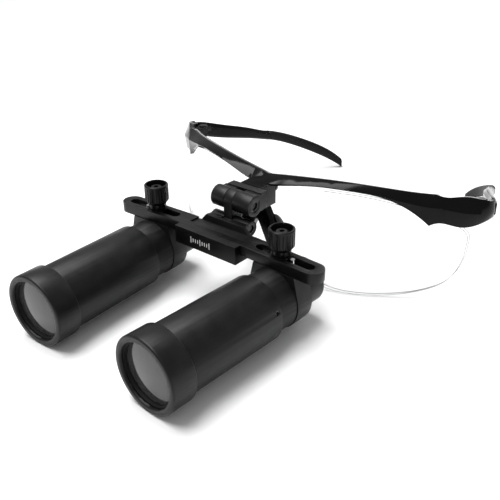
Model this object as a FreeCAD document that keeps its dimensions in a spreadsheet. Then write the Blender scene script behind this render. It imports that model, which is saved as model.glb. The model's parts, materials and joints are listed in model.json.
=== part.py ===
import FreeCAD, Part
import math
import os
import re
import Sketcher

# Dental loupes: two telescopes hang from a slotted bar, the bar hangs from a two-axis
# hinge, and the hinge is screwed to the bridge of a wrap-around spectacle frame.
# +X is the wearer's left, +Y runs from the objectives to the temple tips, +Z is up.
# The part lies on the table z = 0 on its two objective caps and its two temple tips.
# Most pieces are drawn in the bar frame, whose origin is the middle of the bar's top face.

Vec = FreeCAD.Vector
SIDES = ((-1, "right"), (1, "left"))

SIZES = {
    # telescopes: distances ahead of the knob axis, radii about the optical axis
    "pupil_gap": 62.0, "toe_in": 2.9, "axis_drop": 15.45,
    "cap_rad": 13.6, "cap_front": 63.6, "cap_rear": 54.1, "cap_bevel": 0.45,
    "lip_depth": 1.2, "lens_open": 11.03, "thread_rad": 12.0, "fit": 0.05,
    "tube_rad": 12.5, "tube_rear": 13.7, "tube_bore": 10.4,
    "lens_rad": 11.4, "lens_front": 61.9, "front_curve": 70.0, "rear_curve": 45.0,
    "crown_thick": 4.2, "lens_seat": 55.6, "retainer_wide": 0.6, "retainer_thick": 1.1,
    # prism housing and eyepiece
    "house_rad": 11.7, "house_front": 4.5, "house_rear": 3.2, "shoulder_half": 9.3,
    "collar_rad": 11.3, "spigot_front": 21.0, "house_bore": 9.4, "rear_wall": 2.0,
    "cell_front": 20.5, "cell_wall": 1.2, "cell_rear": 0.4, "prism_half": 5.0,
    "prism_high": 5.5, "prism_step": 4.6, "prism_gap": 0.4, "roof_rise": 2.3,
    "eye_rad": 9.0, "eye_end": 14.2, "eye_bore": 7.4, "eye_open": 6.9, "eye_joint": 8.15,
    "field_thick": 2.6, "eye_thick": 3.4, "spacer_thick": 2.4, "spacer_wide": 0.9,
    "set_rad": 0.9, "set_long": 1.7, "set_rise": 4.2,
    # bar
    "bar_wide": 8.45, "bar_thick": 4.06, "bar_half": 49.0, "arm_start": 17.1,
    "slot_start": 2.5, "slot_end": 28.4, "slot_wide": 3.8,
    "block_half": 15.1, "block_front": 7.05, "block_thick": 7.06,
    "pocket_half": 13.0, "pocket_front": 0.8, "pocket_deep": 2.2,
    # knob
    "knob_rad": 4.75, "knob_top": 10.6, "knob_skirt": 4.2, "neck_rad": 3.5, "neck_top": 2.6,
    "cup_rad": 3.9, "cup_deep": 2.6, "flute_rad": 0.35, "flutes": 24,
    "washer_rad": 3.95, "washer_thick": 0.6, "screw_rad": 1.25, "screw_head": 2.0,
    "screw_reach": 6.0, "hex_half": 0.9, "pin_rad": 0.9, "pin_reach": 5.0, "pin_top": 0.2,
    # two-axis hinge: the upper axle belongs to the frame, the lower one to the bar
    "upper_y": 11.5, "upper_z": 8.0, "upper_rad": 4.18, "hinge_half": 9.3,
    "lower_y": 9.3, "lower_z": -0.6, "lower_rad": 3.0, "link_left": 2.9, "link_right": 1.3,
    "side_gap": 0.1, "turn_gap": 0.4, "axle_rad": 1.5, "axle_fit": 0.05,
    "nut_half": 2.4, "nut_thick": 1.6, "head_rad": 2.4, "head_thick": 1.6,
    "foot_gap": 0.05, "slide_gap": 0.03, "foot_back": 5.7, "web_low": 3.9, "web_high": 2.0,
    "web_half": 9.3,
    "bracket_back": 19.8, "bracket_low": 4.6, "bracket_high": 11.4, "mount_screw_x": 7.5,
    "foot_thread": 1.2,
    # spectacle frame
    "brow_deep": 2.6, "bridge_half": 4.6, "bridge_low": 1.5, "bridge_high": 11.6,
    "bridge_back": 30.2, "corner_half": 78.3, "lens_thick": 1.8, "lens_lean": 7.0,
    "temple_thick": 3.4, "temple_high": 8.0, "temple_reach": 149.0, "sleeve_start": 109.0,
    "tip_half": 38.0, "pivot_x": 72.2, "pivot_y": 70.2, "pivot_z": 5.4, "pivot_rad": 1.0,
    "lug_rad": 2.4, "lug_long": 8.0, "lug_high": 5.0, "tongue_thick": 2.4, "tongue_gap": 0.1,
    "right_lean": 2.8, "left_lean": -2.8, "nose_front": 23.5, "nose_thick": 4.0,
    "pad_thick": 3.2, "pad_high": 13.0, "pad_wide": 6.0,
}

DOC = FreeCAD.newDocument("DentalLoupes")
SHEET = DOC.addObject("Spreadsheet::Sheet", "Sizes")
for row, (alias, number) in enumerate(SIZES.items(), start=1):
    SHEET.set(f"A{row}", alias)
    SHEET.set(f"B{row}", str(number))
    SHEET.setAlias(f"B{row}", alias)
DOC.recompute()

# Places of the bar frame and of the optical axes, in the row's own frame.
BAR_TOP = "(axis_drop + cap_rad)"
ARM_FALL = "tan(toe_in) * (pupil_gap / 2 - arm_start)"
FRONT_REACH = f"({ARM_FALL} + cap_front * cos(toe_in) + (cap_rad - cap_bevel) * sin(toe_in))"
BAR_Y = f"(({FRONT_REACH} - temple_reach) / 2)"


def formula(text):
    """The expression engine's spelling of a formula of sheet names."""
    return re.sub(r"[a-z_]+", lambda m: "Sizes." + m.group() if m.group() in SIZES else m.group(),
                  str(text))


def size(text):
    """The number that a formula of sheet names comes to."""
    found = SHEET.evalExpression(formula(text))
    return float(getattr(found, "Value", found))


def bind(obj, **formulas):
    for name, text in formulas.items():
        obj.setExpression(name, formula(text))
    return obj


def put(obj, x="0", y="0", z="0"):
    """Bind an object's position, leaving its rotation as it is."""
    for letter, text in zip("xyz", (x, y, z)):
        obj.setExpression(f"Placement.Base.{letter}", formula(text))
    return obj


# ---------------------------------------------------------------- solids
TURNS = {"X": FreeCAD.Rotation(Vec(0, 1, 0), 90), "Y": FreeCAD.Rotation(Vec(1, 0, 0), -90),
         "Z": FreeCAD.Rotation()}


def box(name, low, high):
    """Block between two corners given as formulas."""
    solid = DOC.addObject("Part::Box", name)
    spans = [f"({b}) - ({a})" for a, b in zip(low, high)]
    bind(solid, Length=spans[0], Width=spans[1], Height=spans[2])
    return put(solid, *low)


def rod(name, radius, length, base, axis):
    solid = DOC.addObject("Part::Cylinder", name)
    solid.Placement.Rotation = TURNS[axis]
    bind(solid, Radius=radius, Height=length)
    return put(solid, *base)


def ball(name, radius, centre):
    solid = DOC.addObject("Part::Sphere", name)
    bind(solid, Radius=radius)
    return put(solid, *centre)


def hexagon(name, half, length, base, axis):
    """Six-sided prism; half is half of the distance across its flats."""
    solid = DOC.addObject("Part::Prism", name)
    solid.Polygon = 6
    solid.Placement.Rotation = TURNS[axis]
    bind(solid, Circumradius=f"({half}) / cos(30)", Height=length)
    return put(solid, *base)


def fuse(name, solids):
    joined = DOC.addObject("Part::MultiFuse", name)
    joined.Shapes = solids
    joined.Refine = True
    return joined


def cut(name, base, tools):
    result = DOC.addObject("Part::Cut", name)
    result.Base = base
    result.Tool = tools[0] if len(tools) == 1 else fuse(name + "_tools", tools)
    result.Refine = True
    return result


def common(name, solids):
    result = DOC.addObject("Part::MultiCommon", name)
    result.Shapes = solids
    return result


# ---------------------------------------------------------------- sketched bodies
def sketch(body, name, plane, outlines, offset="0"):
    """Closed outlines on one of the body's own planes, every corner bound to the sheet."""
    drawn = body.newObject("Sketcher::SketchObject", name)
    drawn.AttachmentSupport = [(next(f for f in body.Origin.OriginFeatures if f.Role == plane), "")]
    drawn.MapMode = "FlatFace"
    drawn.setExpression("AttachmentOffset.Base.z", formula(offset))
    for corners in outlines:
        points = [Vec(size(a), size(b), 0) for a, b in corners]
        first = drawn.GeometryCount
        for here, after in zip(points, points[1:] + points[:1]):
            drawn.addGeometry(Part.LineSegment(here, after))
        for step, (a, b) in enumerate(corners):
            after = first + (step + 1) % len(corners)
            drawn.addConstraint(Sketcher.Constraint("Coincident", first + step, 2, after, 1))
            for kind, text in (("DistanceX", a), ("DistanceY", b)):
                row = drawn.addConstraint(Sketcher.Constraint(kind, -1, 1, first + step, 1, size(text)))
                drawn.setExpression(f"Constraints[{row}]", formula(text))
    return drawn


def circle_sketch(body, name, plane, radius, centre, offset="0"):
    drawn = sketch(body, name, plane, [], offset)
    drawn.addGeometry(Part.Circle(Vec(size(centre[0]), size(centre[1]), 0), Vec(0, 0, 1), size(radius)))
    for kind, text in (("DistanceX", centre[0]), ("DistanceY", centre[1])):
        row = drawn.addConstraint(Sketcher.Constraint(kind, -1, 1, 0, 3, size(text)))
        drawn.setExpression(f"Constraints[{row}]", formula(text))
    row = drawn.addConstraint(Sketcher.Constraint("Radius", 0, size(radius)))
    drawn.setExpression(f"Constraints[{row}]", formula(radius))
    return drawn


def feature(body, kind, name, profile, **formulas):
    made = body.newObject(f"PartDesign::{kind}", name)
    made.Profile = profile
    return bind(made, **formulas)


def revolve(body, kind, name, plane, outline):
    """Revolution or Groove of one outline about the sketch's upright axis."""
    drawn = sketch(body, name + "_outline", plane, [outline])
    made = feature(body, kind, name, drawn)
    made.ReferenceAxis = (drawn, ["V_Axis"])
    made.Angle = 360
    return made


def turned(name, plane, outline):
    body = DOC.addObject("PartDesign::Body", name)
    revolve(body, "Revolution", name + "_turn", plane, outline)
    return body


# ---------------------------------------------------------------- nodes
NODES = []


def node(obj, label):
    obj.Label = label
    NODES.append(obj)
    return obj


def in_bar_frame(obj):
    return put(obj, "0", BAR_Y, BAR_TOP)


def on_carriage(obj, side, height):
    """Stand a piece on the knob axis of one side, turned to that side's toe-in."""
    obj.Placement.Rotation = FreeCAD.Rotation(Vec(0, 0, 1), -side * size("toe_in"))
    return put(obj, f"{side} * pupil_gap / 2", f"{BAR_Y} - {ARM_FALL}", height)


# ---------------------------------------------------------------- telescope
def objective_cap(word):
    outline = [
        ("cap_rad", "-cap_rear"), ("cap_rad", "-cap_front + cap_bevel"),
        ("cap_rad - cap_bevel", "-cap_front"),
        ("lens_open + cap_bevel", "-cap_front"), ("lens_open", "-cap_front + 2 * cap_bevel"),
        ("lens_open", "-cap_front + lip_depth"), ("thread_rad + fit", "-cap_front + lip_depth"),
        ("thread_rad + fit", "-cap_rear"),
    ]
    return turned("objective_cap_" + word, "XY_Plane", outline)


def main_tube(side, word):
    seat = "-cap_front + lip_depth + fit"
    outline = [
        ("tube_rad", "-tube_rear"), ("tube_rad", "-cap_rear"), ("thread_rad", "-cap_rear"),
        ("thread_rad", seat),
        ("lens_rad + fit", seat), ("lens_rad + fit", "-lens_seat"), ("tube_bore", "-lens_seat"),
        ("tube_bore", "-tube_rear"),
    ]
    body = turned("main_tube_" + word, "XY_Plane", outline)
    hole = circle_sketch(body, "set_hole_" + word, "YZ_Plane", "set_rad + fit",
                         ("-tube_rear - 2", "set_rise"))
    made = feature(body, "Pocket", "set_pocket_" + word, hole, Length="tube_rad")
    made.Reversed = side > 0
    return body


def crown_ball(word, use):
    """The cemented surface that both objective elements share."""
    centre = "-lens_front + crown_thick - rear_curve"
    return ball(f"cement_{use}_{word}", "rear_curve", ("0", centre, "0"))


def crown_lens(word):
    blank = rod("crown_blank_" + word, "lens_rad", "lens_front - lens_seat", ("0", "-lens_front", "0"),
                "Y")
    front = ball("crown_front_" + word, "front_curve", ("0", "-lens_front + front_curve", "0"))
    return common("crown_" + word, [blank, front, crown_ball(word, "crown")])


def flint_lens(word):
    blank = rod("flint_blank_" + word, "lens_rad", "lens_front - 1 - lens_seat",
                ("0", "-lens_front + 1", "0"), "Y")
    return cut("flint_" + word, blank, [crown_ball(word, "flint")])


def lens_retainer(word):
    front = "-cap_front + lip_depth + fit"
    inner = "lens_rad - retainer_wide"
    outline = [("lens_rad", front), ("lens_rad", f"{front} + retainer_thick"),
               (inner, f"{front} + retainer_thick"),
               (inner, front)]
    return turned("lens_retainer_" + word, "XY_Plane", outline)


def prism_housing(side, word):
    """Hanger plate, collar and spigot in one casting, bored through for the prism cell."""
    body = DOC.addObject("PartDesign::Body", "housing_" + word)
    top = "(axis_drop - bar_thick - slide_gap)"
    depth = "house_front + house_rear"
    lean = f"(atan2({top}; shoulder_half) - acos(house_rad / sqrt({top}^2 + shoulder_half^2)))"
    flank = (f"house_rad * cos({lean})", f"house_rad * sin({lean})")
    plate = [("-shoulder_half", top), (f"-{flank[0]}", flank[1]), ("0", "-house_bore / 2"), flank,
             ("shoulder_half", top)]
    shell = circle_sketch(body, "house_round_" + word, "XZ_Plane", "house_rad", ("0", "0"), "-house_rear")
    feature(body, "Pad", "house_shell_" + word, shell, Length=depth)
    hanger = sketch(body, "house_hanger_" + word, "XZ_Plane", [plate], "-house_rear")
    feature(body, "Pad", "house_plate_" + word, hanger, Length=depth)
    revolve(body, "Revolution", "house_spigot_" + word, "XY_Plane", [
        ("0", "0"), ("0", "-spigot_front"), ("tube_bore - fit", "-spigot_front"),
        ("tube_bore - fit", "-tube_rear"),
        ("collar_rad", "-tube_rear"), ("collar_rad", "0")])
    crown = sketch(body, "house_crown_" + word, "XZ_Plane", [[
        ("-house_rad", top), ("house_rad", top), ("house_rad", f"{top} + house_rad"),
        ("-house_rad", f"{top} + house_rad")]])
    flat = feature(body, "Pocket", "house_flat_" + word, crown)
    flat.Type = "ThroughAll"
    flat.Midplane = True
    revolve(body, "Groove", "house_bore_cut_" + word, "XY_Plane", [
        ("0", "-spigot_front - 1"), ("house_bore", "-spigot_front - 1"),
        ("house_bore", "house_rear - rear_wall"),
        ("eye_joint + fit", "house_rear - rear_wall"), ("eye_joint + fit", "house_rear + 1"),
        ("0", "house_rear + 1")])
    for use, radius, reach in (("screw", "screw_rad + fit", "0"),
                               ("pin", "pin_rad", f"{side} * pin_reach")):
        hole = circle_sketch(body, f"{use}_hole_{word}", "XY_Plane", radius, (reach, "0"),
                             "house_bore - 2")
        made = feature(body, "Pocket", f"{use}_pocket_{word}", hole, Length=f"{top} - house_bore + 3")
        made.Reversed = True
    DOC.recompute()
    return body


def set_screw(side, word):
    """Grub screw that locks the main tube on the housing's spigot."""
    outer = "(sqrt(tube_rad ^ 2 - set_rise ^ 2) - 0.15)"
    start, mouth = (f"{outer} - set_long", f"{outer} - 0.6") if side > 0 else (f"-{outer}",
                                                                               f"-{outer} - 0.4")
    blank = rod("set_blank_" + word, "set_rad", "set_long", (start, "-tube_rear - 2", "set_rise"), "X")
    socket = hexagon("set_socket_" + word, "set_rad / 2", "1", (mouth, "-tube_rear - 2", "set_rise"), "X")
    return cut("set_screw_" + word, blank, [socket])


def prism_cell(word):
    drum = rod("cell_drum_" + word, "house_bore - fit", "cell_front - cell_rear",
               ("0", "-cell_front", "0"), "Y")
    half = "prism_half + fit"
    room = box("cell_room_" + word, (f"-({half})", "-cell_front + cell_wall", "-house_bore"),
               (half, "1", "house_bore"))
    window = rod("cell_window_" + word, "prism_half - 0.4", "cell_wall + 2",
                 ("0", "-cell_front - 1", "0"), "Y")
    return cut("prism_cell_" + word, drum, [room, window])


def prism(name, outline):
    body = DOC.addObject("PartDesign::Body", name)
    drawn = sketch(body, name + "_outline", "YZ_Plane", [outline])
    made = feature(body, "Pad", name + "_pad", drawn, Length="2 * prism_half")
    made.Midplane = True
    return body


def entrance_prism(word):
    front = "-cell_front + cell_wall + fit"
    back = f"{front} + prism_step"
    return prism("entrance_prism_" + word, [
        (front, "-prism_high"), (front, "prism_high"), (back, "prism_high"),
        (f"{back} + prism_step", "-prism_high")])


def roof_prism(word):
    front = "-cell_front + cell_wall + fit + prism_step + prism_gap"
    back = "-cell_rear - 0.3"
    ridge = f"({front} + {back}) / 2"
    return prism("roof_prism_" + word, [
        (front, "prism_high"), (ridge, "prism_high + roof_rise"), (back, "prism_high"),
        (back, "-prism_high"),
        (f"{front} + prism_step", "-prism_high")])


def eyepiece_tube(word):
    joint = "house_rear - rear_wall + fit"
    return turned("eyepiece_tube_" + word, "XY_Plane", [
        ("eye_joint", joint), ("eye_joint", "house_rear"), ("eye_rad", "house_rear"),
        ("eye_rad", "eye_end - cap_bevel"), ("eye_rad - cap_bevel", "eye_end"),
        ("eye_open + cap_bevel", "eye_end"),
        ("eye_open", "eye_end - cap_bevel"), ("eye_open", "eye_end - 1"), ("eye_bore", "eye_end - 1"),
        ("eye_bore", joint)])


# Eyepiece elements stack forward from the rear lip.
EYE_BACK = "(eye_end - 1 - fit)"
SPACER_BACK = f"({EYE_BACK} - eye_thick)"
FIELD_BACK = f"({SPACER_BACK} - spacer_thick)"


def eyepiece_lens(name, back, thick, curve):
    """Lens with a flat front and a domed back."""
    blank = rod(name + "_blank", "eye_bore - fit", thick, ("0", f"{back} - {thick}", "0"), "Y")
    dome = ball(name + "_dome", curve, ("0", f"{back} - ({curve})", "0"))
    return common(name, [blank, dome])


def eyepiece_spacer(word):
    inner = "eye_bore - fit - spacer_wide"
    return turned("eyepiece_spacer_" + word, "XY_Plane", [
        ("eye_bore - fit", FIELD_BACK), ("eye_bore - fit", SPACER_BACK), (inner, SPACER_BACK),
        (inner, FIELD_BACK)])


# ---------------------------------------------------------------- clamp of a telescope on the bar
def thumb_knob(word):
    body = turned("thumb_knob_" + word, "XZ_Plane", [
        ("screw_rad", "washer_thick + fit"), ("neck_rad", "washer_thick + fit"), ("neck_rad", "neck_top"),
        ("knob_rad", "knob_skirt"), ("knob_rad", "knob_top - 0.3"), ("knob_rad - 0.3", "knob_top"),
        ("cup_rad", "knob_top"), ("cup_rad", "knob_top - cup_deep"),
        ("screw_rad", "knob_top - cup_deep")])
    drawn = circle_sketch(body, "flute_round_" + word, "XY_Plane", "flute_rad",
                          ("knob_rad + flute_rad / 2", "0"), "neck_top")
    flute = feature(body, "Pocket", "flute_" + word, drawn, Length="knob_top - 0.8 - neck_top")
    flute.Reversed = True
    ring = body.newObject("PartDesign::PolarPattern", "flute_ring_" + word)
    ring.Originals = [flute]
    ring.Axis = (drawn, ["N_Axis"])
    ring.Angle = 360
    ring.setExpression("Occurrences", formula("flutes"))
    body.Tip = ring
    DOC.recompute()
    return body


def knob_screw(word):
    shank = rod("screw_shank_" + word, "screw_rad", "knob_top - cup_deep + screw_reach",
                ("0", "0", "-screw_reach"), "Z")
    head = rod("screw_head_" + word, "screw_head", "1.5", ("0", "0", "knob_top - cup_deep"), "Z")
    socket = hexagon("screw_socket_" + word, "hex_half", "2", ("0", "0", "knob_top - cup_deep + 0.6"),
                     "Z")
    return cut("knob_screw_" + word, fuse("screw_blank_" + word, [shank, head]), [socket])


def knob_washer(word):
    return turned("knob_washer_" + word, "XZ_Plane", [
        ("screw_rad + fit", "slide_gap"), ("washer_rad", "slide_gap"), ("washer_rad", "washer_thick"),
        ("screw_rad + fit", "washer_thick")])


def index_pin(side, word):
    """Pin beside the knob screw that keeps the telescope square to its slot."""
    body = DOC.addObject("PartDesign::Body", "index_pin_" + word)
    foot = "(house_bore + 0.1 - axis_drop)"
    end = circle_sketch(body, "pin_round_" + word, "XY_Plane", "pin_rad", (f"{side} * pin_reach", "0"),
                        foot)
    feature(body, "Pad", "pin_pad_" + word, end, Length=f"pin_top - {foot}")
    DOC.recompute()
    return body


def telescope(side, word):
    axis_height = "cap_rad"
    barrel = {
        "objective_cap": objective_cap(word), "main_tube": main_tube(side, word),
        "objective_crown_lens": crown_lens(word),
        "objective_flint_lens": flint_lens(word), "lens_retainer": lens_retainer(word),
        "prism_housing": prism_housing(side, word), "tube_set_screw": set_screw(side, word),
        "prism_cell": prism_cell(word), "entrance_prism": entrance_prism(word),
        "roof_prism": roof_prism(word),
        "eyepiece_tube": eyepiece_tube(word),
        "field_lens": eyepiece_lens("field_lens_" + word, FIELD_BACK, "field_thick", "2 * eye_bore"),
        "eyepiece_spacer": eyepiece_spacer(word),
        "eye_lens": eyepiece_lens("eye_lens_" + word, EYE_BACK, "eye_thick", "3 * eye_bore"),
    }
    clamp = {
        "thumb_knob": thumb_knob(word), "knob_screw": knob_screw(word), "knob_washer": knob_washer(word),
        "index_pin": index_pin(side, word),
    }
    for pieces, height in ((barrel, axis_height), (clamp, BAR_TOP)):
        for label, piece in pieces.items():
            node(on_carriage(piece, side, height), f"{word}_{label}")


# ---------------------------------------------------------------- bar
def slot(name, start, end, wide, low, high):
    """Round-ended slot along X, as the solid that cuts it."""
    middle = box(name + "_mid", (start, f"-({wide}) / 2", low), (end, f"({wide}) / 2", high))
    ends = [rod(f"{name}_{place}", f"({wide}) / 2", f"({high}) - ({low})", (x, "0", low), "Z")
            for place, x in (("near", start), ("far", end))]
    return fuse(name, [middle] + ends)


def bar_arm(side, word):
    run = "(bar_half - arm_start) / cos(toe_in) - bar_wide / 2"
    blade = box("arm_blade_" + word, ("-2", "-bar_wide / 2", "-bar_thick"), (run, "bar_wide / 2", "0"))
    tip = rod("arm_tip_" + word, "bar_wide / 2", "bar_thick", (run, "0", "-bar_thick"), "Z")
    opening = slot("arm_slot_" + word, "slot_start + slot_wide / 2", "slot_end - slot_wide / 2",
                   "slot_wide",
                   "-bar_thick - 1", "1")
    arm = cut("arm_" + word, fuse("arm_blank_" + word, [blade, tip]), [opening])
    angle = -size("toe_in") if side > 0 else 180 + size("toe_in")
    arm.Placement.Rotation = FreeCAD.Rotation(Vec(0, 0, 1), angle)
    return put(arm, f"{side} * arm_start", "0", "0")


def slotted_bar():
    spine = box("bar_spine", ("-arm_start", "-bar_wide / 2", "-bar_thick"),
                ("arm_start", "bar_wide / 2", "0"))
    block = box("bar_block", ("-block_half", "-block_front", "-block_thick"),
                ("block_half", "bar_wide / 2", "0"))
    pocket = box("bar_pocket", ("-pocket_half", "-pocket_front", "-pocket_deep"),
                 ("pocket_half", "bar_wide", "1"))
    holes = []
    for side, word in SIDES:
        place = (f"{side} * mount_screw_x", "bar_wide / 4", "-block_thick - 1")
        holes.append(rod(f"bar_hole_{word}", "screw_rad + fit", "block_thick", place, "Z"))
        holes.append(rod(f"bar_counterbore_{word}", "screw_head + fit", "head_thick + 1", place, "Z"))
    solid = fuse("bar_blank", [spine, block] + [bar_arm(side, word) for side, word in SIDES])
    return node(in_bar_frame(cut("slotted_bar", solid, [pocket] + holes)), "slotted_bar")


# ---------------------------------------------------------------- hinge
def knuckles(name, radius, y, z, reach):
    """Hinge barrels either side of the link, with room for the link between them."""
    gaps = {"near": (f"-({reach})", "-link_left - side_gap"), "far": ("link_right + side_gap", reach)}
    return [rod(f"{name}_{place}", radius, f"({b}) - ({a})", (a, y, z), "X") for place,
            (a, b) in gaps.items()]


def axle(name, y, z):
    """Hinge screw: head sunk at one end, thread through the nut at the other."""
    shank = rod(name + "_shank", "axle_rad", "2 * hinge_half - head_thick",
                ("-hinge_half + head_thick / 2", y, z), "X")
    head = rod(name + "_head", "head_rad", "head_thick - 0.3", ("-hinge_half + 0.2", y, z), "X")
    socket = hexagon(name + "_socket", "hex_half", "1", ("-hinge_half - 0.1", y, z), "X")
    return cut(name, fuse(name + "_blank", [shank, head]), [socket])


def axle_nut(name, y, z):
    nut = hexagon(name + "_blank", "nut_half", "nut_thick - 0.2", ("hinge_half - nut_thick", y, z), "X")
    hole = rod(name + "_hole", "axle_rad", "4", ("hinge_half - 3", y, z), "X")
    return cut(name, nut, [hole])


def axle_room(name, y, z):
    """What the axle, its head and its nut need cut out of the knuckles."""
    return [
        rod(name + "_bore", "axle_rad + axle_fit", "2 * hinge_half + 2", ("-hinge_half - 1", y, z), "X"),
        rod(name + "_counterbore", "head_rad + axle_fit", "head_thick + 1", ("-hinge_half - 1", y, z),
            "X"),
        hexagon(name + "_nut_room", "nut_half + axle_fit", "nut_thick + 1",
                ("hinge_half - nut_thick", y, z), "X"),
    ]


def cheeks(name, low, high):
    """A block split by the room for the link."""
    whole = box(name + "_block", ("-hinge_half", *low), ("hinge_half", *high))
    room = box(name + "_room", ("-link_left - side_gap", f"({low[0]}) - 1", f"({low[1]}) - 1"),
               ("link_right + side_gap", f"({high[0]}) + 1", f"({high[1]}) + 1"))
    return cut(name, whole, [room])


def lower_hinge_mount():
    """Foot in the bar's pocket, web behind the bar and the lower knuckles."""
    back = "bar_wide / 2 + foot_gap"
    foot = box("mount_foot", ("-pocket_half + foot_gap", "-pocket_front + foot_gap", "-pocket_deep"),
               ("pocket_half - foot_gap", back, "-pocket_deep + 1.5"))
    flange = DOC.addObject("Part::Wedge", "mount_flange")
    flange.Placement.Rotation = FreeCAD.Rotation(Vec(1, 0, 0), 90)
    bind(flange, Xmin="-pocket_half", Xmax="pocket_half", X2min="-web_half", X2max="web_half", Ymin="0",
         Ymax="pocket_deep + web_high", Zmin="-foot_back", Zmax=f"-({back})", Z2min="-foot_back",
         Z2max=f"-({back})")
    put(flange, "0", "0", "-pocket_deep")
    web = box("mount_web", ("-web_half", back, "-web_low"), ("web_half", "foot_back", "-pocket_deep"))
    bearers = cheeks("mount_cheeks", ("foot_back - 0.5", "lower_z - lower_rad"),
                     ("lower_y", "lower_z + lower_rad - 0.6"))
    solid = fuse("mount_blank",
                 [foot, flange, web, bearers] + knuckles("mount_knuckle", "lower_rad", "lower_y",
                                                         "lower_z", "hinge_half"))
    holes = [rod(f"mount_hole_{word}", "screw_rad", "1 + foot_thread",
                 (f"{side} * mount_screw_x", "bar_wide / 4", "-pocket_deep - 1"), "Z") for side,
                 word in SIDES]
    return node(in_bar_frame(cut("lower_hinge_mount", solid,
                                 axle_room("lower", "lower_y", "lower_z") + holes)), "lower_hinge_mount")


def mount_screws():
    """Two sunk-head screws up through the block into the foot."""
    screws = []
    for side, word in SIDES:
        place = (f"{side} * mount_screw_x", "bar_wide / 4")
        rise = "block_thick - pocket_deep + foot_thread - 1"
        shank = rod(f"mount_shank_{word}", "screw_rad", rise, (*place, "-block_thick + 1"), "Z")
        head = rod(f"mount_head_{word}", "screw_head", "head_thick - 0.1",
                   (*place, "-block_thick + 0.1"), "Z")
        socket = hexagon(f"mount_socket_{word}", "hex_half", "1", (*place, "-block_thick"), "Z")
        screws.append(cut(f"mount_screw_{word}", fuse(f"mount_screw_blank_{word}", [shank, head]),
                          [socket]))
    return node(in_bar_frame(fuse("mount_screws", screws)), "mount_screws")


def hinge_link():
    """Link whose two barrels turn on the upper and the lower axle."""
    body = DOC.addObject("PartDesign::Body", "hinge_link")
    front = "upper_y - upper_rad"
    outline = [(front, "upper_z"), (front, "lower_z"), ("lower_y", "lower_z - 0.5"),
               ("lower_y + lower_rad", "lower_z"),
               ("upper_y + upper_rad", "upper_z"), ("upper_y", "upper_z + 0.5")]
    wide = "link_left + link_right"
    plate = sketch(body, "link_outline", "YZ_Plane", [outline], "-link_left")
    feature(body, "Pad", "link_plate", plate, Length=wide)
    for name, y, z, radius in (("upper", "upper_y", "upper_z", "upper_rad"),
                               ("lower", "lower_y", "lower_z", "lower_rad")):
        barrel = circle_sketch(body, f"link_{name}_round", "YZ_Plane", radius, (y, z), "-link_left")
        feature(body, "Pad", f"link_{name}_barrel", barrel, Length=wide)
    for name, y, z in (("upper", "upper_y", "upper_z"), ("lower", "lower_y", "lower_z")):
        bore = circle_sketch(body, f"link_{name}_bore", "YZ_Plane", "axle_rad + axle_fit", (y, z))
        hole = feature(body, "Pocket", f"link_{name}_hole", bore)
        hole.Type = "ThroughAll"
        hole.Midplane = True
    DOC.recompute()
    return node(in_bar_frame(body), "hinge_link")


def frame_bracket():
    """Upper knuckles and the block that is screwed to the frame's bridge."""
    clear = "upper_y + upper_rad + turn_gap"
    block = box("bracket_block", ("-hinge_half + 1", clear, "bracket_low"),
                ("hinge_half - 1", "bracket_back", "bracket_high"))
    bearers = cheeks("bracket_cheeks", ("upper_y", "bracket_low + 0.3"),
                     (f"{clear} + 0.5", "bracket_high - 0.4"))
    solid = fuse("bracket_blank",
                 [block, bearers] + knuckles("bracket_knuckle", "upper_rad", "upper_y", "upper_z",
                                             "hinge_half"))
    holes = [rod(f"bracket_hole_{word}", "screw_rad", "4",
                 (f"{side} * bridge_half * 0.6", "bracket_back - 3", "upper_z"), "Y")
             for side, word in SIDES]
    return node(in_bar_frame(cut("frame_bracket", solid,
                                 axle_room("upper", "upper_y", "upper_z") + holes)), "frame_bracket")


def bracket_screws():
    """Two screws from the wearer's side through the bridge into the bracket."""
    screws = []
    for side, word in SIDES:
        place = f"{side} * bridge_half * 0.6"
        shank = rod(f"bracket_shank_{word}", "screw_rad", "bridge_back - bracket_back + 2.5",
                    (place, "bracket_back - 2.5", "upper_z"), "Y")
        head = rod(f"bracket_head_{word}", "screw_head", "1.2", (place, "bridge_back", "upper_z"), "Y")
        socket = hexagon(f"bracket_socket_{word}", "hex_half", "1",
                         (place, "bridge_back + 0.5", "upper_z"), "Y")
        screws.append(cut(f"bracket_screw_{word}", fuse(f"bracket_screw_blank_{word}", [shank, head]),
                          [socket]))
    return node(in_bar_frame(fuse("bracket_screws", screws)), "bracket_screws")


# ---------------------------------------------------------------- spectacle frame
# Each station of the half frame gives the crest of its outer face (x, y, z), the turn of its section
# about the vertical, and how far in and how high its top edge and its bottom edge lie. The
# flare below the crest starts at x = 46 and ends in a sharp hook at station number HOOK, and the
# last three stations go round the corner.
BROW = (
    ((0.0, 25.2, 10.9), 0, (5.8, 12.9), (1.0, 9.6)),
    ((8.0, 25.8, 11.9), 0, (5.4, 14.2), (1.0, 10.8)),
    ((20.0, 28.2, 13.9), 0, (4.8, 15.4), (1.0, 13.0)),
    ((35.0, 33.8, 14.0), 0, (4.2, 15.5), (0.8, 13.2)),
    ((46.0, 39.4, 12.4), 0, (3.8, 14.6), (0.8, 11.6)),
    ((54.0, 44.2, 10.5), 0, (3.6, 13.7), (1.0, 7.7)),
    ((61.5, 48.8, 9.0), 0, (3.5, 13.2), (1.0, 1.2)),
    ((70.0, 55.0, 7.3), 12, (3.0, 12.4), (0.9, 1.0)),
    ((76.0, 61.4, 6.0), 38, (2.0, 11.2), (0.7, 1.4)),
    ((78.0, 65.6, 5.6), 70, (0.9, 10.2), (0.4, 2.6)),
    ((78.3, 69.6, 5.4), 90, (0.6, 9.6), (0.2, 2.8)),
)
HOOK = 6


def wire(points):
    return Part.makePolygon([Vec(*p) for p in points] + [Vec(*points[0])])


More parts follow.
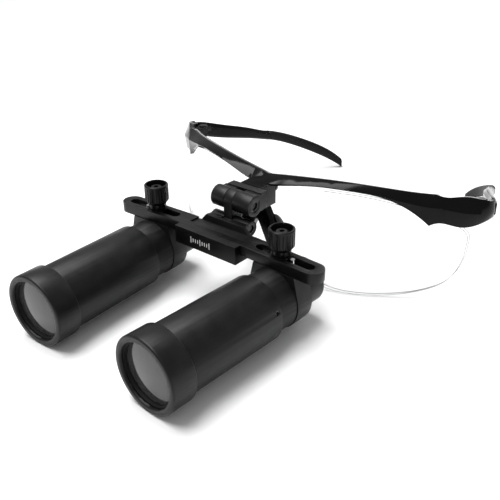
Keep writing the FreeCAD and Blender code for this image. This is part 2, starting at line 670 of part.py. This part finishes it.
def brow_section(crest, turn, top, bottom):
    """Outer face through three points, and an inner face a wall behind it."""
    deep = size("brow_deep")
    grow = size("corner_half") / BROW[-1][0][0]
    inward = Vec(-math.sin(math.radians(turn)), math.cos(math.radians(turn)), 0)
    foot = Vec(crest[0] * grow, crest[1], 0)
    outline = (bottom, (0.0, crest[2]), top, (top[0] + deep, top[1] - 0.8), (1.5 * deep, crest[2] - 0.6),
               (bottom[0] + deep, bottom[1] - 0.3))
    return wire([tuple(foot + inward * reach + Vec(0, 0, z)) for reach, z in outline])


def mirrored(shape):
    return shape.mirror(Vec(0, 0, 0), Vec(1, 0, 0))


def lens_front_at(x):
    """How far back the front face of a carrier lens stands at half height."""
    return 30.5 + 15.5 * (x / 50.0) ** 2


LENS = (
    (11.5, 9.0, 1.0), (15.0, 10.0, -9.0), (20.0, 10.5, -18.5), (27.0, 10.6, -25.8), (36.0, 10.4, -28.3),
    (48.0, 8.6, -28.2), (58.0, 5.8, -26.8), (65.0, 3.0, -24.6), (69.5, 0.0, -21.5), (72.0, -2.5, -16.5),
    (73.0, -5.0, -11.5),
)


def carrier_lens():
    """Wrapped clear lens, leaning forward towards its lower edge."""
    thick = size("lens_thick")
    lean = size("lens_lean") / 35.0
    sections = []
    for x, high, low in LENS:
        face = lens_front_at(x)
        sections.append(wire([(x, face + lean * (z - 10.0) + deep, z)
                              for z, deep in ((low, 0.0), (high, 0.0), (high, thick), (low, thick))]))
    return Part.makeLoft(sections, True, False)


def pivot_place(side, word):
    """Where one temple hinge stands; its axis leans so that the temples fold one over the other."""
    spot = Vec(side * size("pivot_x"), size("pivot_y"), size("pivot_z"))
    return FreeCAD.Placement(spot, FreeCAD.Rotation(Vec(1, 0, 0), size(word + "_lean")))


def slab(x, y, z, low_x, low_y, low_z):
    return Part.makeBox(x, y, z, Vec(low_x, low_y, low_z))


def drum(radius, high, low):
    return Part.makeCylinder(radius, high, Vec(0, 0, low))


def moved(shape, place):
    return shape.transformed(place.Matrix, copy=True)


def tongue_room(gap):
    """Slot between the lugs, as a drum for the tongue's round end that is open to the inside and the back."""
    radius = size("lug_rad + tongue_gap")
    return drum(radius, gap,
                -gap / 2).fuse([slab(4 * radius, 2 * radius, gap, -4 * radius, -radius, -gap / 2),
                                             slab(2 * radius, 3 * radius, gap, -radius, 0, -gap / 2)])


def hinge_lugs(place):
    """End piece of the frame: two lugs with a slot for the temple's tongue, bored for the pin."""
    radius, high, deep = size("lug_rad"), size("lug_high"), size("lug_long")
    gap = size("tongue_thick + 2 * tongue_gap")
    lugs = slab(2 * radius, deep, high, -radius, -deep, -high / 2).fuse(drum(radius, high, -high / 2))
    bore = drum(size("pivot_rad"), high + 2, -high / 2 - 1)
    return moved(lugs.cut([tongue_room(gap), bore]), place)


def front_frame(lenses):
    sections = [brow_section(*station) for station in BROW]
    half = Part.makeLoft(sections[:HOOK + 1], True,
                         False).fuse(Part.makeLoft(sections[HOOK:], True, False))
    low, high = size("bridge_low"), size("bridge_high")
    reach, start = size("bridge_half"), size("bracket_back")
    bridge = slab(2 * reach, size("bridge_back") - start, high - low, -reach, start, low)
    gap = size("tongue_thick + 2 * tongue_gap")
    slots = [moved(tongue_room(gap), pivot_place(side, word)) for side, word in SIDES]
    solid = half.fuse([mirrored(half), bridge]).cut(slots)
    solid = solid.fuse([hinge_lugs(pivot_place(side, word)) for side, word in SIDES]).removeSplitter()
    holes = [Part.makeCylinder(size("screw_rad + fit"), 20,
                               Vec(side * reach * 0.6, start - 1, size("upper_z")),
                               Vec(0, 1, 0)) for side, word in SIDES]
    return solid.cut(lenses + holes)


def temple_pin(place):
    pin = drum(size("pivot_rad - fit"), size("lug_high") + 0.2, -size("lug_high") / 2)
    head = drum(size("1.7 * pivot_rad"), 0.4, size("lug_high") / 2)
    return moved(pin.fuse(head), place)


# Route of a temple between its hinge and its tip: share of the way back, half spacing and height.
TEMPLE_ROUTE = (
    (0.064, 74.6, 4.2), (0.148, 71.4, 2.4), (0.252, 67.6, 0.5), (0.369, 64.4, -1.9), (0.511, 61.6, -5.2),
    (0.661, 57.8, -9.4), (0.790, 52.4, -14.3), (0.905, 45.6, -19.8),
)


def temple_path(side):
    """Middle line of a temple from its hinge to its tip, which lies on the table."""
    start, end = size("pivot_y + 0.4"), size("temple_reach - 0.4 * temple_thick")
    floor = -size("cap_rad + axis_drop")
    root = (0.0, size("corner_half - temple_thick / 2"), size("pivot_z"))
    tip = (1.0, size("tip_half"), floor + 0.28 * size("temple_high"))
    return [Vec(side * x, start + share * (end - start), z) for share, x, z in (root, *TEMPLE_ROUTE, tip)]


# Share of the temple's full height at each point of its route.
TEMPLE_TAPER = (0.83, 0.9, 0.86, 0.78, 0.68, 0.62, 0.66, 0.7, 0.7, 0.56)


def bar_section(here, along, thick, high):
    """Eight-sided section square to the route in plan and upright."""
    across = Vec(along.y, -along.x, 0).normalize()
    corners = ((-0.5, -0.3), (-0.5, 0.3), (-0.2, 0.5), (0.2, 0.5), (0.5, 0.3), (0.5, -0.3), (0.2, -0.5),
               (-0.2, -0.5))
    return wire([tuple(here + across * (a * thick) + Vec(0, 0, b * high)) for a, b in corners])


def temple_solids(side, word):
    """The arm with its hinge tongue, and the rubber sleeve from the sleeve's mouth to the tip."""
    path = temple_path(side)
    ways = [Vec(0, 1, 0)] + [b - a for a, b in zip(path, path[2:])] + [path[-1] - path[-2]]
    thick, high = size("temple_thick"), size("temple_high")
    sections = [bar_section(p, way, thick, high * k) for p, way, k in zip(path, ways, TEMPLE_TAPER)]
    start = next(i for i, p in enumerate(path) if p.y >= size("sleeve_start"))
    arm = Part.makeLoft(sections[:start + 1], True, False)
    flat = size("tongue_thick")
    radius = size("lug_rad - 0.2")
    reach = size("corner_half - temple_thick / 2 - pivot_x")
    tongue = drum(radius, flat,
                  -flat / 2).fuse(slab(reach + 1, 4.5, flat, -1 if side > 0 else -reach, 0.4, -flat / 2))
    tongue = tongue.cut(drum(size("pivot_rad"), flat + 2, -flat / 2 - 1))
    return arm.fuse(moved(tongue,
                          pivot_place(side, word))).removeSplitter(), Part.makeLoft(sections[start:],
                                                                                    True, False)


def nose_piece():
    """Saddle plate under the bridge, split into two legs."""
    low = size("bridge_low")
    right = [(0.6, low - 6.0), (5.2, -14.0), (8.5, -15.0), (12.0, -14.0), (6.4, -2.0),
             (size("bridge_half"), low)]
    outline = right + [(-x, z) for x, z in reversed(right)]
    front = size("nose_front")
    return Part.Face(wire([(x, front, z) for x, z in outline])).extrude(Vec(0, size("nose_thick"), 0))


def nose_pad(side):
    """Soft pad on the wearer's face of one leg."""
    pad = Part.makeSphere(1.0)
    grow = FreeCAD.Matrix()
    grow.scale(Vec(size("pad_wide / 2"), size("pad_thick"), size("pad_high / 2")))
    pad = pad.transformGeometry(grow)
    pad = pad.common(slab(20, 20, 40, -10, 0, -20))
    spot = Vec(side * 8.2, size("nose_front + nose_thick"), -8.0)
    return moved(pad, FreeCAD.Placement(spot, FreeCAD.Rotation(Vec(0, 1, 0), -side * 24.0)))


def shaped(shape, label):
    made = DOC.addObject("Part::Feature", label)
    made.Shape = shape
    return node(in_bar_frame(made), label)


def spectacle_frame():
    lens = carrier_lens()
    lenses = {1: lens, -1: mirrored(lens)}
    shaped(front_frame(list(lenses.values())), "front_frame")
    shaped(nose_piece(), "nose_piece")
    for side, word in SIDES:
        arm, sleeve = temple_solids(side, word)
        shaped(lenses[side], f"{word}_carrier_lens")
        shaped(nose_pad(side), f"{word}_nose_pad")
        shaped(temple_pin(pivot_place(side, word)), f"{word}_temple_pin")
        shaped(arm, f"{word}_temple")
        shaped(sleeve, f"{word}_temple_tip")


# ---------------------------------------------------------------- assembly
def check(objects):
    for obj in objects:
        if {"Invalid", "Error"} & set(obj.State):
            raise RuntimeError(f"{obj.Label} failed: {obj.State}")


def main():
    for side, word in SIDES:
        telescope(side, word)
    slotted_bar()
    lower_hinge_mount()
    mount_screws()
    hinge_link()
    frame_bracket()
    bracket_screws()
    for name in ("upper", "lower"):
        place = (f"{name}_y", f"{name}_z")
        node(in_bar_frame(axle(f"{name}_hinge_pin", *place)), f"{name}_hinge_pin")
        node(in_bar_frame(axle_nut(f"{name}_pin_nut", *place)), f"{name}_pin_nut")
    spectacle_frame()
    DOC.recompute()
    check(DOC.Objects)
    os.makedirs("parts", exist_ok=True)
    for piece in NODES:
        if piece.Shape.isNull() or not piece.Shape.isValid():
            raise RuntimeError(f"{piece.Label} has no valid shape")
        piece.Shape.exportStep(f"parts/{piece.Label}.step")
        print(f"{piece.Label:28s} {len(piece.Shape.Solids)} solid(s) {piece.Shape.Volume:10.2f} mm3")


main()
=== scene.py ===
"""Dental loupes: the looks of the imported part, seen as on a white table."""
import json
import math

import bmesh
import bpy
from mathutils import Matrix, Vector


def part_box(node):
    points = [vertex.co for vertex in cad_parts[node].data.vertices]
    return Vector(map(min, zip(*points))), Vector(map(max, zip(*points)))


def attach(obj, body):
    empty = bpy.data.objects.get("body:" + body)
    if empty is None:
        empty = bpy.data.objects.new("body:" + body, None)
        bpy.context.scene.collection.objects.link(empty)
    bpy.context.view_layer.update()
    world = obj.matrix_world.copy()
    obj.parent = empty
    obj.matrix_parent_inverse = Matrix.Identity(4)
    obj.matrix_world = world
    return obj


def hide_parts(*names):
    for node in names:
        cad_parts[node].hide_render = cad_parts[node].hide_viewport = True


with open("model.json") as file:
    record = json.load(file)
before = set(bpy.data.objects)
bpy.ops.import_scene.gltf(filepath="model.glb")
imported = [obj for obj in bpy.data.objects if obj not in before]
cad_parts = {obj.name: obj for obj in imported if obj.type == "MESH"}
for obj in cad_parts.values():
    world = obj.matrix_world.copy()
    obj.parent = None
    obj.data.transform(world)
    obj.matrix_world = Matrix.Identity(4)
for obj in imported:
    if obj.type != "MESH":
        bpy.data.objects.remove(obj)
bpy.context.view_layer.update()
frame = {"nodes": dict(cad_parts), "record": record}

MM = 0.001
SIDES = ((-1, "right"), (1, "left"))


# ---------------------------------------------------------------- materials
class Shader:
    """A principled material with short ways to add nodes to it."""

    def __init__(self, name, **values):
        self.material = bpy.data.materials.new(name)
        self.material.use_nodes = True
        self.tree = self.material.node_tree
        self.main = self.tree.nodes["Principled BSDF"]
        self.set(self.main, **values)

    def set(self, target, **values):
        for socket, value in values.items():
            target.inputs[socket.replace("_", " ")].default_value = value

    def add(self, kind, **settings):
        made = self.tree.nodes.new(kind)
        for name, value in settings.items():
            setattr(made, name, value)
        return made

    def link(self, source, target):
        self.tree.links.new(source, target)

    def coordinates(self):
        return self.add("ShaderNodeTexCoord").outputs["Object"]

    def noise(self, scale, detail=4.0, rough=0.5, vector=None):
        made = self.add("ShaderNodeTexNoise")
        self.set(made, Scale=scale, Detail=detail, Roughness=rough)
        self.link(vector or self.coordinates(), made.inputs["Vector"])
        return made.outputs["Fac"]

    def between(self, factor, low, high, start=0.3, end=0.7):
        made = self.add("ShaderNodeMapRange")
        for socket, value in (("From Min", start), ("From Max", end), ("To Min", low), ("To Max", high)):
            made.inputs[socket].default_value = value
        self.link(factor, made.inputs["Value"])
        return made.outputs["Result"]

    def ramp(self, factor, stops):
        made = self.add("ShaderNodeValToRGB")
        ramp = made.color_ramp
        while len(ramp.elements) < len(stops):
            ramp.elements.new(0.5)
        for element, (place, shade) in zip(ramp.elements, stops):
            element.position = place
            element.color = (*shade, 1.0)
        self.link(factor, made.inputs["Fac"])
        return made.outputs["Color"]

    def bump(self, height, strength, distance):
        made = self.add("ShaderNodeBump")
        self.set(made, Strength=strength, Distance=distance)
        self.link(height, made.inputs["Height"])
        self.link(made.outputs["Normal"], self.main.inputs["Normal"])


def anodised(name, dark, light, rough, grain=0.02):
    """Black anodised aluminium: faint mottling and a very fine blasted grain."""
    made = Shader(name, IOR=1.4, Specular_IOR_Level=0.36)
    cloud = made.noise(220.0)
    made.link(made.ramp(cloud, ((0.35, dark), (0.7, light))), made.main.inputs["Base Color"])
    made.link(made.between(cloud, rough - 0.05, rough + 0.05), made.main.inputs["Roughness"])
    made.bump(made.noise(9000.0, detail=2.0), grain, 0.0001)
    return made.material


def plastic(name, dark, light, rough, grain=0.0):
    """Moulded plastic or rubber with a faintly uneven surface."""
    made = Shader(name, IOR=1.42, Specular_IOR_Level=0.16)
    cloud = made.noise(60.0)
    made.link(made.ramp(cloud, ((0.35, dark), (0.7, light))), made.main.inputs["Base Color"])
    made.link(made.between(cloud, rough * 0.8, rough * 1.2), made.main.inputs["Roughness"])
    if grain:
        made.bump(made.noise(5000.0, detail=2.0), grain, 0.0002)
    return made.material


def steel(name, shade, rough):
    """Turned steel; a dark shade stands for a blackened screw."""
    made = Shader(name, Metallic=1.0)
    cloud = made.noise(900.0)
    low = tuple(0.8 * part for part in shade)
    made.link(made.ramp(cloud, ((0.3, low), (0.7, shade))), made.main.inputs["Base Color"])
    made.link(made.between(cloud, rough * 0.8, rough * 1.25), made.main.inputs["Roughness"])
    return made.material


def glass(name, tint, ior=1.5):
    """Clear glass with a trace of unevenness in its tint."""
    made = Shader(name, IOR=ior, Roughness=0.0)
    made.main.inputs["Transmission Weight"].default_value = 1.0
    cloud = made.noise(30.0)
    bright = tuple(min(1.0, 1.02 * part) for part in tint)
    made.link(made.ramp(cloud, ((0.3, tint), (0.7, bright))), made.main.inputs["Base Color"])
    return made.material


def coated_glass(name, dark, light):
    """Objective glass as seen from in front: a veil of grey reflection with faint upright streaks."""
    made = Shader(name, IOR=1.5, Roughness=0.08)
    made.main.inputs["Transmission Weight"].default_value = 0.35
    stretch = made.add("ShaderNodeMapping")
    stretch.inputs["Scale"].default_value = (9.0, 9.0, 0.6)
    made.link(made.coordinates(), stretch.inputs["Vector"])
    streaks = made.noise(60.0, vector=stretch.outputs["Vector"])
    made.link(made.ramp(streaks, ((0.35, dark), (0.65, light))), made.main.inputs["Base Color"])
    return made.material


def grey(value):
    return (value, value, value)


LOOKS = {
    "cap": anodised("cap_black", grey(0.003), grey(0.005), 0.40),
    "tube": anodised("tube_black", grey(0.003), grey(0.005), 0.42, grain=0.05),
    "knob": anodised("knob_black", grey(0.002), grey(0.003), 0.30),
    "bar": anodised("bar_black", grey(0.002), grey(0.004), 0.38, grain=0.05),
    "hinge": anodised("hinge_black", grey(0.003), grey(0.005), 0.42, grain=0.08),
    "bracket": anodised("bracket_grey", grey(0.004), grey(0.006), 0.4),
    "cell": anodised("cell_black", grey(0.01), grey(0.012), 0.6),
    "gloss": plastic("frame_gloss", grey(0.002), grey(0.003), 0.12),
    "rubber": plastic("tip_rubber", grey(0.006), grey(0.010), 0.5, grain=0.15),
    "pad": plastic("pad_rubber", grey(0.10), grey(0.13), 0.5, grain=0.1),
    "steel": steel("steel_dark", grey(0.05), 0.35),
    "bright": steel("steel_bright", grey(0.75), 0.18),
    "optic": glass("optical_glass", (0.55, 0.58, 0.60)),
    "coated": coated_glass("coated_glass", grey(0.040), grey(0.066)),
    "lens": glass("clear_lens", (0.985, 0.988, 0.99), ior=1.08),
    # The lens rim lines: painted highlight, a light grey standing for the glint along the clear lenses'
    # rims.
    "edge": plastic("painted_rim_glint", grey(0.45), grey(0.55), 0.3),
    "paint": plastic("mark_paint", grey(0.75), grey(0.82), 0.5),
}

NODE_LOOK = {
    "objective_cap": "cap", "main_tube": "tube", "objective_crown_lens": "coated",
    "objective_flint_lens": "optic",
    "lens_retainer": "cell", "prism_housing": "tube", "tube_set_screw": "steel", "prism_cell": "cell",
    "entrance_prism": "optic", "roof_prism": "optic", "eyepiece_tube": "tube", "field_lens": "optic",
    "eyepiece_spacer": "cell", "eye_lens": "optic", "knob_washer": "knob", "index_pin": "bright",
    "thumb_knob": "knob",
    "knob_screw": "steel", "slotted_bar": "bar", "lower_hinge_mount": "hinge", "mount_screws": "steel",
    "hinge_link": "hinge", "frame_bracket": "bracket", "bracket_screws": "steel",
    "upper_hinge_pin": "steel",
    "upper_pin_nut": "steel", "lower_hinge_pin": "steel", "lower_pin_nut": "steel",
    "front_frame": "gloss",
    "nose_piece": "gloss", "carrier_lens": "lens", "nose_pad": "pad", "temple_pin": "steel",
    "temple": "gloss",
    "temple_tip": "rubber",
}


def kind_of(node):
    for _, word in SIDES:
        if node.startswith(word + "_"):
            return node[len(word) + 1:]
    return node


# ---------------------------------------------------------------- pieces
BODY_OF = {node: name for name, members in frame["record"]["behaviour"]["bodies"].items()
           for node in members}


def piece(name, mesh, look, body):
    """A new object on a body, in one look."""
    mesh.materials.clear()
    mesh.materials.append(LOOKS[look])
    made = bpy.data.objects.new(name, mesh)
    bpy.context.scene.collection.objects.link(made)
    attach(made, body)
    return made


def dressed(node, bevel, sharp=28):
    """The node's own shape with softened edges, shown in place of the node."""
    mesh = frame["nodes"][node].data.copy()
    shell = bmesh.new()
    shell.from_mesh(mesh)
    bmesh.ops.remove_doubles(shell, verts=shell.verts, dist=1e-6)
    bmesh.ops.dissolve_limit(shell, angle_limit=math.radians(0.4), verts=shell.verts, edges=shell.edges)
    for face in shell.faces:
        face.smooth = True
    shell.to_mesh(mesh)
    shell.free()
    made = piece(node + "_shell", mesh, NODE_LOOK[kind_of(node)], BODY_OF[node])
    soft = made.modifiers.new("edges", "BEVEL")
    soft.width = bevel * MM
    soft.segments = 3
    soft.limit_method = "ANGLE"
    soft.angle_limit = math.radians(sharp)
    soft.harden_normals = True
    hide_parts(node)
    return made


# Softened nodes and the width of their edges in millimetres.
EDGES = {
    "objective_cap": 0.3, "main_tube": 0.2, "prism_housing": 0.35, "eyepiece_tube": 0.3,
    "thumb_knob": 0.12,
    "slotted_bar": 0.35, "lower_hinge_mount": 0.25, "hinge_link": 0.25, "frame_bracket": 0.35,
    "front_frame": 0.35,
    "nose_piece": 0.6, "temple": 0.5, "temple_tip": 0.6, "upper_pin_nut": 0.1, "lower_pin_nut": 0.1,
}


def rim_glint_lines(node, radius, look, sharp=30, inner=24):
    """Painted highlight: fine light grey tubes along a clear piece's sharp edges beyond the nose,
    standing for the glint where its rim catches the light.
    """
    shell = bmesh.new()
    shell.from_mesh(frame["nodes"][node].data)
    bmesh.ops.remove_doubles(shell, verts=shell.verts, dist=1e-6)
    keep = {edge for edge in shell.edges
            if len(edge.link_faces) == 2 and edge.calc_face_angle() > math.radians(sharp)
            and min(abs(vert.co.x) for vert in edge.verts) > inner * MM}
    curve = bpy.data.curves.new(node + "_edge", "CURVE")
    curve.dimensions = "3D"
    curve.bevel_depth = radius * MM
    curve.bevel_resolution = 2
    while keep:
        edge = keep.pop()
        chain = [edge.verts[0], edge.verts[1]]
        while True:
            onward = [e for e in chain[-1].link_edges if e in keep]
            if not onward:
                break
            keep.discard(onward[0])
            chain.append(onward[0].other_vert(chain[-1]))
        line = curve.splines.new("POLY")
        line.points.add(len(chain) - 1)
        for point, vert in zip(line.points, chain):
            point.co = (*vert.co, 1.0)
    shell.free()
    curve.materials.append(LOOKS[look])
    made = bpy.data.objects.new(node + "_edge", curve)
    bpy.context.scene.collection.objects.link(made)
    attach(made, BODY_OF[node])


# Scale on the block, in millimetres: half the number of strokes, spacing, half width, heights of
# a long and a short stroke, its middle's shift to the wearer's right and drop from the bar's top.
MARKS_EACH_WAY = 4
MARK_SPACING = 1.15
MARK_HALF_WIDE = 0.17
MARK_LONG, MARK_SHORT = 2.6, 1.5
MARKS_SHIFT, MARKS_DROP = 2.2, 3.6
MARK_PROUD, MARK_THICK = 0.02, 0.05


def scale_marks():
    """A plain graduated scale on the block's front face."""
    low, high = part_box("slotted_bar")
    proud = low[1] - MARK_PROUD * MM
    middle = high[2] - MARKS_DROP * MM
    wide = MARK_HALF_WIDE * MM
    mesh = bpy.data.meshes.new("scale_marks")
    marks = bmesh.new()
    for step in range(-MARKS_EACH_WAY, MARKS_EACH_WAY + 1):
        half = (MARK_LONG if step % MARKS_EACH_WAY == 0 else MARK_SHORT) * MM / 2
        x = (step * MARK_SPACING - MARKS_SHIFT) * MM
        corners = [(x - wide, proud, middle - half), (x + wide, proud, middle - half),
                   (x + wide, proud, middle + half), (x - wide, proud, middle + half)]
        front = marks.faces.new([marks.verts.new(corner) for corner in corners])
        deep = bmesh.ops.extrude_face_region(marks, geom=[front])
        moved = [v for v in deep["geom"] if isinstance(v, bmesh.types.BMVert)]
        bmesh.ops.translate(marks, verts=moved, vec=(0, MARK_THICK * MM, 0))
    bmesh.ops.recalc_face_normals(marks, faces=marks.faces)
    marks.to_mesh(mesh)
    marks.free()
    piece("scale_marks", mesh, "paint", "bar")


for node, shown in frame["nodes"].items():
    shown.data.materials.clear()
    shown.data.materials.append(LOOKS[NODE_LOOK[kind_of(node)]])
for node in list(frame["nodes"]):
    if kind_of(node) in EDGES:
        dressed(node, EDGES[kind_of(node)])
# Painted highlight: light grey tubes along the clear lenses' rims, standing for their glint.
for _, word in SIDES:
    rim_glint_lines(word + "_carrier_lens", 0.14, "edge")
scale_marks()


# ---------------------------------------------------------------- stage
FLOOR_HALF = 4.0


def floor():
    mesh = bpy.data.meshes.new("table")
    wide = FLOOR_HALF
    mesh.from_pydata([(-wide, -wide, 0), (wide, -wide, 0), (wide, wide, 0), (-wide, wide, 0)], [],
                     [(0, 1, 2, 3)])
    made = Shader("table_white", Roughness=0.7)
    made.link(made.ramp(made.noise(3.0), ((0.3, grey(0.90)), (0.7, grey(0.92)))),
              made.main.inputs["Base Color"])
    mesh.materials.append(made.material)
    table = bpy.data.objects.new("table", mesh)
    bpy.context.scene.collection.objects.link(table)


def area_light(name, spot, aim, size, power):
    data = bpy.data.lights.new(name, "AREA")
    data.shape = "RECTANGLE"
    data.size, data.size_y = size
    data.energy = power
    lamp = bpy.data.objects.new(name, data)
    lamp.location = spot
    lamp.rotation_euler = (Vector(aim) - Vector(spot)).to_track_quat("-Z", "Y").to_euler()
    bpy.context.scene.collection.objects.link(lamp)


# The view: lens in millimetres, place in metres, direction, and roll in degrees.
LENS = 48.55
EYE = (0.15439, -0.20797, 0.14221)
LOOK = (-0.5633, 0.6763, -0.4747)
ROLL = -0.46


def camera():
    """The photograph's view: from the wearer's left, in front and above, with a slight roll."""
    data = bpy.data.cameras.new("camera")
    data.lens = LENS
    data.sensor_width = 36.0
    data.clip_start = 0.01
    eye = bpy.data.objects.new("camera", data)
    eye.location = EYE
    eye.rotation_euler = Vector(LOOK).to_track_quat("-Z", "Y").to_euler()
    eye.rotation_euler.rotate_axis("Z", math.radians(ROLL))
    bpy.context.scene.collection.objects.link(eye)
    bpy.context.scene.camera = eye


floor()
camera()
world = bpy.data.worlds.new("room")
world.use_nodes = True
world.node_tree.nodes["Background"].inputs["Color"].default_value = (1, 1, 1, 1)
world.node_tree.nodes["Background"].inputs["Strength"].default_value = 0.45
bpy.context.scene.world = world
bpy.context.scene.view_settings.view_transform = "Standard"
area_light("overhead", (-0.25, -0.1, 0.9), (0, 0, 0), (0.9, 0.6), 13.5)
area_light("back", (-0.3, 1.3, 0.6), (0, 0, 0.02), (0.8, 0.15), 3.0)
